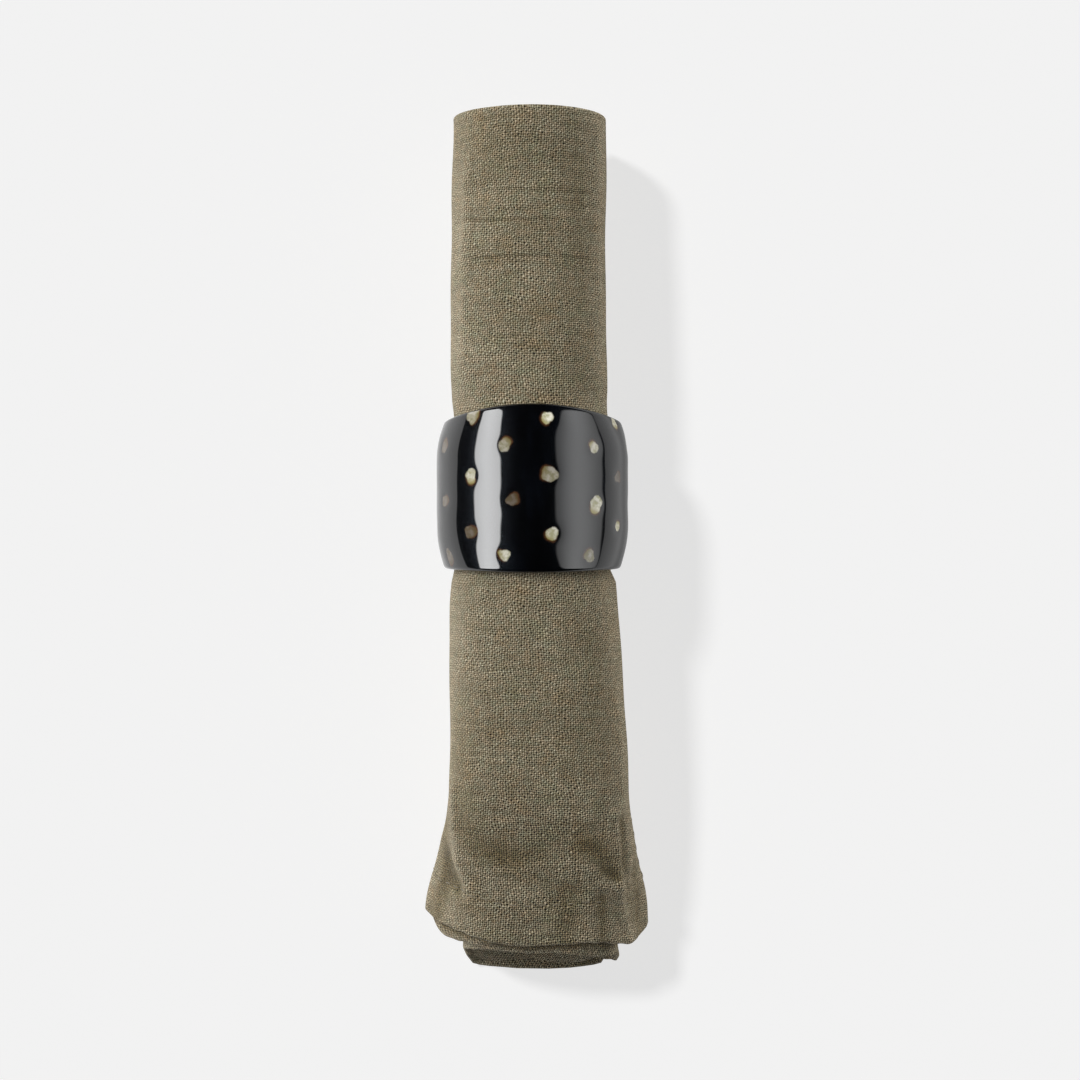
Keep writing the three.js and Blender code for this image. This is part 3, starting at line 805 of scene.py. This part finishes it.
def linen_material():
    """Plain weave of uneven yarn: each float has its own tone, and pinholes show between the threads."""
    n = material("linen")
    uv = n.node("ShaderNodeUVMap", uv_map="Weave").outputs[0]
    split = n.node("ShaderNodeSeparateXYZ", {"Vector": uv})
    u, v = split.outputs["X"], split.outputs["Y"]

    def wander(seed):
        """How far threads stray from their straight lines: slowly, and a little from crossing to crossing."""
        slow = n.noise(n.vector(u, v, seed), 0.13, 2.0)
        quick = n.noise(n.vector(u, v, seed), 0.8, 1.0)
        return n.math("MULTIPLY_ADD", slow, 2.4, n.product(quick, 0.5))

    def streaks(x, y, stretch_x, stretch_y, seed=0.0, detail=2.0):
        """Noise stretched along a thread, and different on each thread."""
        return n.noise(n.vector(n.product(x, stretch_x), n.product(y, stretch_y), seed), 1.0, detail)

    def random_at(x, y, seed):
        inputs = {"Vector": n.vector(x, y, seed)}
        return n.node("ShaderNodeTexWhiteNoise", inputs, noise_dimensions="3D").outputs["Value"]

    def odd(x, y):
        return n.math("FLOORED_MODULO", n.math("ADD", x, y), 2.0)

    a = n.math("DIVIDE", n.math("ADD", u, wander(0.0)), THREAD_ALONG)
    b = n.math("DIVIDE", n.math("ADD", v, wander(60.0)), THREAD_ROUND)
    cell_a, cell_b = n.math("FLOOR", a), n.math("FLOOR", b)
    corner_a, corner_b = n.math("ROUND", a), n.math("ROUND", b)
    wave_a, wave_b = (n.math("SINE", n.product(at, math.pi)) for at in (a, b))

    # Each thread's thickness, with slubs that come and go along it.
    slub_a = streaks(cell_a, v, 3.7, 0.16, detail=3.0)
    slub_b = streaks(u, cell_b, 0.16, 3.7, detail=3.0)

    def rise(own, other, slub, sign):
        """A thread's rise where it passes over."""
        over = n.math("MULTIPLY_ADD", n.product(n.math("SIGN", own), other), 0.5 * sign, 0.5)
        width = n.math("MULTIPLY_ADD", slub, 0.7, 0.6)
        return n.product(n.math("ABSOLUTE", own), width, over)

    rise_a = rise(wave_a, wave_b, slub_a, 1.0)
    rise_b = rise(wave_b, wave_a, slub_b, -1.0)
    height = n.math("MAXIMUM", rise_a, rise_b)
    shows_a = n.math("GREATER_THAN", rise_a, rise_b)

    # Pinholes where four threads meet, and no two are alike. Every other one is darker: painted shade, as
    # light falling from one side leaves those in shade.
    off_a, off_b = n.math("SUBTRACT", a, corner_a), n.math("SUBTRACT", b, corner_b)
    away = n.hypot(off_a, off_b)
    hole_size = n.math("MULTIPLY_ADD", random_at(corner_a, corner_b, 3.0), 0.5, 0.65)
    loose = loose_lines(n, u, v)
    hole_openness_and_painted_shade = n.product(n.math("MULTIPLY_ADD", odd(corner_a, corner_b), -0.8, 0.95), hole_size)
    hole_openness_and_painted_shade = n.math("MAXIMUM", hole_openness_and_painted_shade, n.product(loose, 0.75))
    hole = n.product(n.range(away, 0.6, 0.12), hole_openness_and_painted_shade)

    # Colours: two close yarns, with patches that lean to brown or to green-grey.
    patch = n.noise(n.vector(u, v), 0.11, 3.0, 0.6)
    fine_patch = n.noise(n.vector(u, v, 5.0), 0.6, 2.0)
    float_tone = random_at(cell_a, cell_b, 11.0)
    along = n.mix(slub_a, colour(136, 127, 105), colour(172, 162, 138))
    round_roll = n.mix(slub_b, colour(112, 102, 82), colour(148, 137, 114))
    yarn = n.mix(shows_a, round_roll, along)
    yarn = n.tinted(yarn, (1.04, 0.965, 0.88, 1.0), n.range(patch, 0.5, 0.72))
    yarn = n.tinted(yarn, (0.93, 0.985, 0.93, 1.0), n.range(patch, 0.5, 0.3))
    fine_tint = n.mix(n.range(fine_patch, 0.35, 0.65), (1.05, 0.985, 0.945, 1.0), (0.89, 0.935, 0.925, 1.0))
    yarn = n.tinted(yarn, fine_tint)

    # How pale each point is, with more contrast towards the hems.
    gap = n.range(height, 0.1, 0.8, 0.32, 1.2)
    streak_b = streaks(u, cell_b, 0.05, 2.3, 9.0)
    streak_a = streaks(cell_a, v, 2.3, 0.04, 4.0)
    broad = n.noise(n.vector(u, n.product(v, 1.8), 7.0), 0.09, 3.0, 0.6)
    shade = n.product(
        gap,
        n.math("MULTIPLY_ADD", float_tone, 0.36, 0.86),
        n.range(streak_b, 0.3, 0.62, 0.84, 1.05),
        n.range(streak_a, 0.3, 0.62, 0.93, 1.04),
        n.range(broad, 0.3, 0.7, 0.92, 1.08),
        n.math("SUBTRACT", 1.0, hole),
        n.range(loose, 0.0, 1.0, 1.0, 0.86),
    )
    usual_shade = 0.82
    added_contrast = n.range(n.math("ABSOLUTE", v), 160.0, 195.0, 0.0, 0.35)
    shade = n.math("MULTIPLY_ADD", n.math("SUBTRACT", shade, usual_shade), added_contrast, shade)

    # Folds and covered edges get painted shade, darker and browner, and ridges get painted light. What is
    # dark is warmer than what is pale.
    tone = n.attribute("painted_light_and_shade")
    shade = n.product(shade, n.math("ADD", tone, 1.0))
    yarn = n.tinted(yarn, (1.0, 0.96, 0.84, 1.0), n.range(tone, 0.0, -0.6))
    warmth = n.mix(n.range(shade, 0.35, 1.15), (1.06, 0.99, 0.77, 1.0), (1.0, 1.03, 1.1, 1.0))
    depth = n.math("SUBTRACT", height, n.product(hole, 0.4))
    n.set(Base_Color=n.tinted(yarn, n.tinted(shade, warmth)),
          Roughness=n.range(height, 0.0, 1.0, 0.98, 0.8),
          Normal=n.bump(depth, 0.00022, 0.9), IOR=1.4, Specular_IOR_Level=0.25,
          Sheen_Weight=0.45, Sheen_Roughness=0.4, Sheen_Tint=colour(225, 212, 188))
    return n.owner


def thread_material():
    """The hem's sewing thread: a twisted yarn, a little darker than the linen."""
    n = material("sewing_thread")
    place = n.node("ShaderNodeTexCoord").outputs["Object"]
    tone = n.noise(place, 900.0, 2.0)
    ply = n.node("ShaderNodeTexWave", {"Vector": place, "Scale": 1400.0, "Distortion": 2.0}).outputs["Fac"]
    n.set(Base_Color=n.mix(tone, colour(84, 76, 60), colour(112, 104, 84)),
          Roughness=n.range(ply, 0.0, 1.0, 0.6, 0.8),
          Normal=n.bump(ply, 0.00005, 0.5), Sheen_Weight=0.2)
    return n.owner


def horn_material():
    """Polished black horn with pale, cloudy flecks that turn green-yellow and brown towards one side."""
    n = material("horn")
    place = n.node("ShaderNodeTexCoord").outputs["Object"]

    def stretched(scale):
        return n.node("ShaderNodeMapping", {"Vector": place, "Scale": (1.0, scale, 1.0)}).outputs[0]

    edge, pale, side = n.attribute("fleck_edge"), n.attribute("fleck_pale"), n.attribute("fleck_side")
    ragged = n.math("MULTIPLY_ADD", n.noise(place, 900.0, 3.0, 0.6), 0.5, -0.25)
    edge = n.math("ADD", edge, ragged)
    inside = n.range(edge, 0.15, -0.3)
    fringe = n.range(edge, n.range(side, -0.5, 1.0, 0.3, 0.75), -0.1)
    grain = n.noise(stretched(0.25), 160.0, 4.0, 0.6)
    black = n.mix(n.range(grain, 0.45, 0.75), colour(3, 3, 4), colour(7, 9, 14))
    brown = n.mix(n.range(side, -0.8, 0.9), colour(16, 11, 8), colour(74, 47, 26))
    cloud = n.noise(place, 650.0, 3.0, 0.6)
    cream = n.mix(n.range(cloud, 0.35, 0.65), colour(172, 170, 134), colour(226, 223, 208))
    cream = n.mix(n.range(side, 0.1, 1.1), cream, colour(150, 140, 84))
    fleck = n.mix(pale, colour(58, 38, 24), cream)
    body = n.mix(fringe, black, brown)
    scratches = n.noise(stretched(6.0), 260.0, 3.0, 0.7)
    n.set(Base_Color=n.mix(inside, body, fleck),
          Roughness=n.range(scratches, 0.3, 0.8, 0.28, 0.36),
          Normal=n.bump(n.noise(place, 120.0, 2.0), 0.00004, 0.35),
          Coat_Weight=1.0, Coat_Roughness=0.035, Coat_IOR=1.55,
          IOR=1.55, Specular_IOR_Level=0.045, Specular_Tint=(0.7, 0.85, 1.0, 1.0))
    return n.owner


# ---- Build the pieces

grid = cloth_grid()
cloth_vertices, cloth_faces, cloth_uvs, cloth_painted_light_and_shade = shell(grid)
napkin = make_mesh("linen_napkin", cloth_vertices, cloth_faces, cloth_uvs)
add_attribute(napkin, "painted_light_and_shade", cloth_painted_light_and_shade)
napkin.data.materials.append(linen_material())
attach(napkin, "root")
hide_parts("napkin")

stitch_vertices, stitch_faces = stitches(grid)
seam = make_mesh("hem_stitches", stitch_vertices, stitch_faces)
seam.data.materials.append(thread_material())
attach(seam, "root")

ring = ring_mesh()
ring.data.materials.append(horn_material())
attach(ring, "root")
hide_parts("napkin_ring")

# ---- Studio

LENS = 76.93  # mm, on a 36 mm sensor
CAMERA_PLACE = (0.0012, 0.0026, 0.620)
PAPER = colour(242, 242, 242)
MIDDLE = Vector((0.0, 0.0, 0.03))
KEY_LEVEL = 0.17  # of the light that the key gives to a white surface lying flat
SHADOW_LEVEL = KEY_LEVEL * 0.85  # of the light that the roll's shadow takes away from the paper
ROOM_LEVEL = 0.05


def far_lamp(name, towards, level, across, tint=(1.0, 1.0, 1.0)):
    """A far lamp some degrees across, at the level that a white surface facing it would reflect."""
    light = bpy.data.lights.new(name, "SUN")
    light.energy = level * math.pi
    light.color = tint
    light.angle = math.radians(across)
    holder = link(bpy.data.objects.new(name, light))
    holder.rotation_euler = (-Vector(towards)).to_track_quat("-Z", "Y").to_euler()
    holder.visible_glossy = False
    return holder


def plane(name, half_width, half_length, look, shown_to, height=0):
    """A level stage surface that only some kinds of ray see. It casts no shadow."""
    corners = [[x * half_width, y * half_length, height] for x, y in ((-1, -1), (1, -1), (1, 1), (-1, 1))]
    piece = make_mesh(name, corners, [[0, 1, 2, 3]])
    piece.data.materials.append(look)
    for kind in ("camera", "glossy", "transmission", "diffuse"):
        setattr(piece, "visible_" + kind, kind in shown_to)
    piece.visible_shadow = False
    return piece


# The paper that shows keeps the key's shadow and is evenly lit otherwise. The one under it is what
# bounces the lamps' light back up.
PAPER_REACH = 9000
SHOWN_WHITENESS = 0.3
paper = material("paper")
paper_level = PAPER[0] - SHADOW_LEVEL - ROOM_LEVEL * SHOWN_WHITENESS
paper.set(Base_Color=grey(SHOWN_WHITENESS), Roughness=1.0, Specular_IOR_Level=0.0,
          Emission_Color=grey(1.0), Emission_Strength=paper_level)
shown_paper = plane("paper", PAPER_REACH, PAPER_REACH, paper.owner, ("camera", "transmission"))
under = material("under_paper")
under.set(Base_Color=grey(0.85), Roughness=1.0, Specular_IOR_Level=0.0)
plane("under_paper", PAPER_REACH, PAPER_REACH, under.owner, ("diffuse",), height=-0.5)


def reflected(name, middle, tilt, across, along, level, stops, corner=0.0, soft=1.0, bow=0.0):
    """A glowing sheet that only the ring's reflections show. Its level changes across it by the stops, from
    0 at one edge to 1 at the other, and its corners and edges are soft. The bow is how far sideways it swings
    a metre from its middle. Lengths are in millimetres, but the middle's place is in metres."""
    n = material(name)
    place = n.node("ShaderNodeSeparateXYZ", {"Vector": n.node("ShaderNodeTexCoord").outputs["Object"]})
    swing = n.product(place.outputs["Y"], place.outputs["Y"], bow * MM)
    at_x = n.math("SUBTRACT", place.outputs["X"], swing)
    past = []
    for at, size in ((at_x, across), (place.outputs["Y"], along)):
        beyond = n.math("SUBTRACT", n.math("ABSOLUTE", at), (size / 2 - corner - soft) * MM)
        past.append(n.math("MAXIMUM", beyond, 0.0))
    inside = n.range(n.hypot(*past), (corner + soft) * MM, corner * MM)
    ramp = n.node("ShaderNodeValToRGB",
                  {"Fac": n.range(at_x, -across / 2 * MM, across / 2 * MM, smooth=False)})
    ramp.color_ramp.interpolation = "EASE"
    points = ramp.color_ramp.elements
    for at, _ in stops[1:-1]:
        points.new(at)
    for point, (at, value) in zip(points, stops):
        point.position = at
        point.color = grey(value)
    glow = n.product(inside, ramp.outputs["Color"], level)
    n.set(Base_Color=grey(0.0), Emission_Color=grey(1.0), Emission_Strength=glow, Specular_IOR_Level=0.0)
    furthest_swing = abs(bow) * (along / 2 * MM) ** 2
    sheet = plane(name, across / 2 + furthest_swing, along / 2, n.owner, ("glossy",))
    sheet.location = middle
    sheet.rotation_euler = (0, tilt, 0)


SOFTBOX_BOW = 330.0  # which keeps its reflection straight where the ring narrows


def reflected_softbox(name, side, first, last, along, level, stops, corner, soft):
    """A reflected sheet a metre from the roll that faces it, between two angles from straight up."""
    tilt = side * math.radians((first + last) / 2)
    across = 2000 * math.tan(math.radians((last - first) / 2))
    middle = MIDDLE + Vector((math.sin(tilt), 0, math.cos(tilt)))
    reflected(name, middle, tilt, across, along, level, stops, corner, soft, side * SOFTBOX_BOW)


reflected_softbox("left_softbox", -1, 36.0, 73.5, 1700, 11.1, [(0, 0.8), (0.5, 1.0), (1, 0.88)], 150, 60)
reflected_softbox("right_panel", 1, 25.0, 93.5, 1700, 2.7, [(0, 0.35), (0.45, 1.0), (1, 0.4)], 280, 110)
# The paper on either side: a glowing sheet of a certain size, with the roll's shade painted into its glow
# near the roll's right side.
LEFT_STOPS = [(0, 1.0), (0.6, 1.0), (0.85, 0.76), (1, 0.76)]
RIGHT_STOPS = [(0, 0.25), (0.12, 0.42), (0.19, 1.0), (1, 0.82)]
reflected("paper_on_left", (-0.108, 0, 0), 0, 216, 800, 1.03, LEFT_STOPS)
reflected("paper_on_right", (0.175, 0, 0), 0, 350, 800, 0.82, RIGHT_STOPS)

# The direction of each soft lamp, its level and how many degrees it is across. The low ones stand for what
# the table sends back, which is warmer on the right.
SOFT_LAMPS = {
    "over": ((-0.12, 0.2, 1.0), 0.43, 50),
    "behind": ((0.0, 0.85, 0.5), 0.38, 50),
    "behind_left": ((-0.43, 0.75, 0.5), 0.34, 50),
    "low_left": ((-1.0, 0.1, -0.3), 0.62, 40),
    "low_right": ((1.0, 0.1, -0.7), 0.5, 40, (1.0, 0.93, 0.78)),
}
soft_lamps = [far_lamp(name, *values) for name, values in SOFT_LAMPS.items()]

KEY_TOWARDS = Vector((-0.69, 0.62, 1.0))
KEY_SIZE = 7  # degrees across


def key_light(name, level):
    """A small far lamp up on the left, at a level that a white surface lying flat would reflect."""
    return far_lamp(name, KEY_TOWARDS, level * KEY_TOWARDS.length, KEY_SIZE)


def link_lamps(holders, piece, state):
    """The lamps light only this piece, or everything but it."""
    receivers = bpy.data.collections.new("lit_by_" + holders[0].name)
    receivers.objects.link(piece)
    receivers.collection_objects[0].light_linking.link_state = state
    for holder in holders:
        holder.light_linking.receiver_collection = receivers


# The paper that shows has a key of its own, so the roll's only shadow on it is that one's.
link_lamps([*soft_lamps, key_light("key", KEY_LEVEL)], shown_paper, "EXCLUDE")
link_lamps([key_light("shadow_key", SHADOW_LEVEL / SHOWN_WHITENESS)], shown_paper, "INCLUDE")

# The room is the paper's colour where it shows, black in reflections, and dim for all other light.
room = Nodes(bpy.data.worlds.new("studio"))
rays = room.node("ShaderNodeLightPath").outputs
shows = room.math("MAXIMUM", rays["Is Camera Ray"], rays["Is Transmission Ray"])
room.set(Color=PAPER, Strength=room.range(shows, 0.0, 1.0, ROOM_LEVEL, 1.0, smooth=False))
room.owner.cycles_visibility.glossy = False
bpy.context.scene.world = room.owner

camera = link(bpy.data.objects.new("camera", bpy.data.cameras.new("camera")))
camera.data.lens = LENS
camera.data.sensor_width = 36.0
camera.location = CAMERA_PLACE
camera.rotation_euler = (0, 0, 0)
bpy.context.scene.camera = camera
bpy.context.scene.view_settings.view_transform = "Standard"
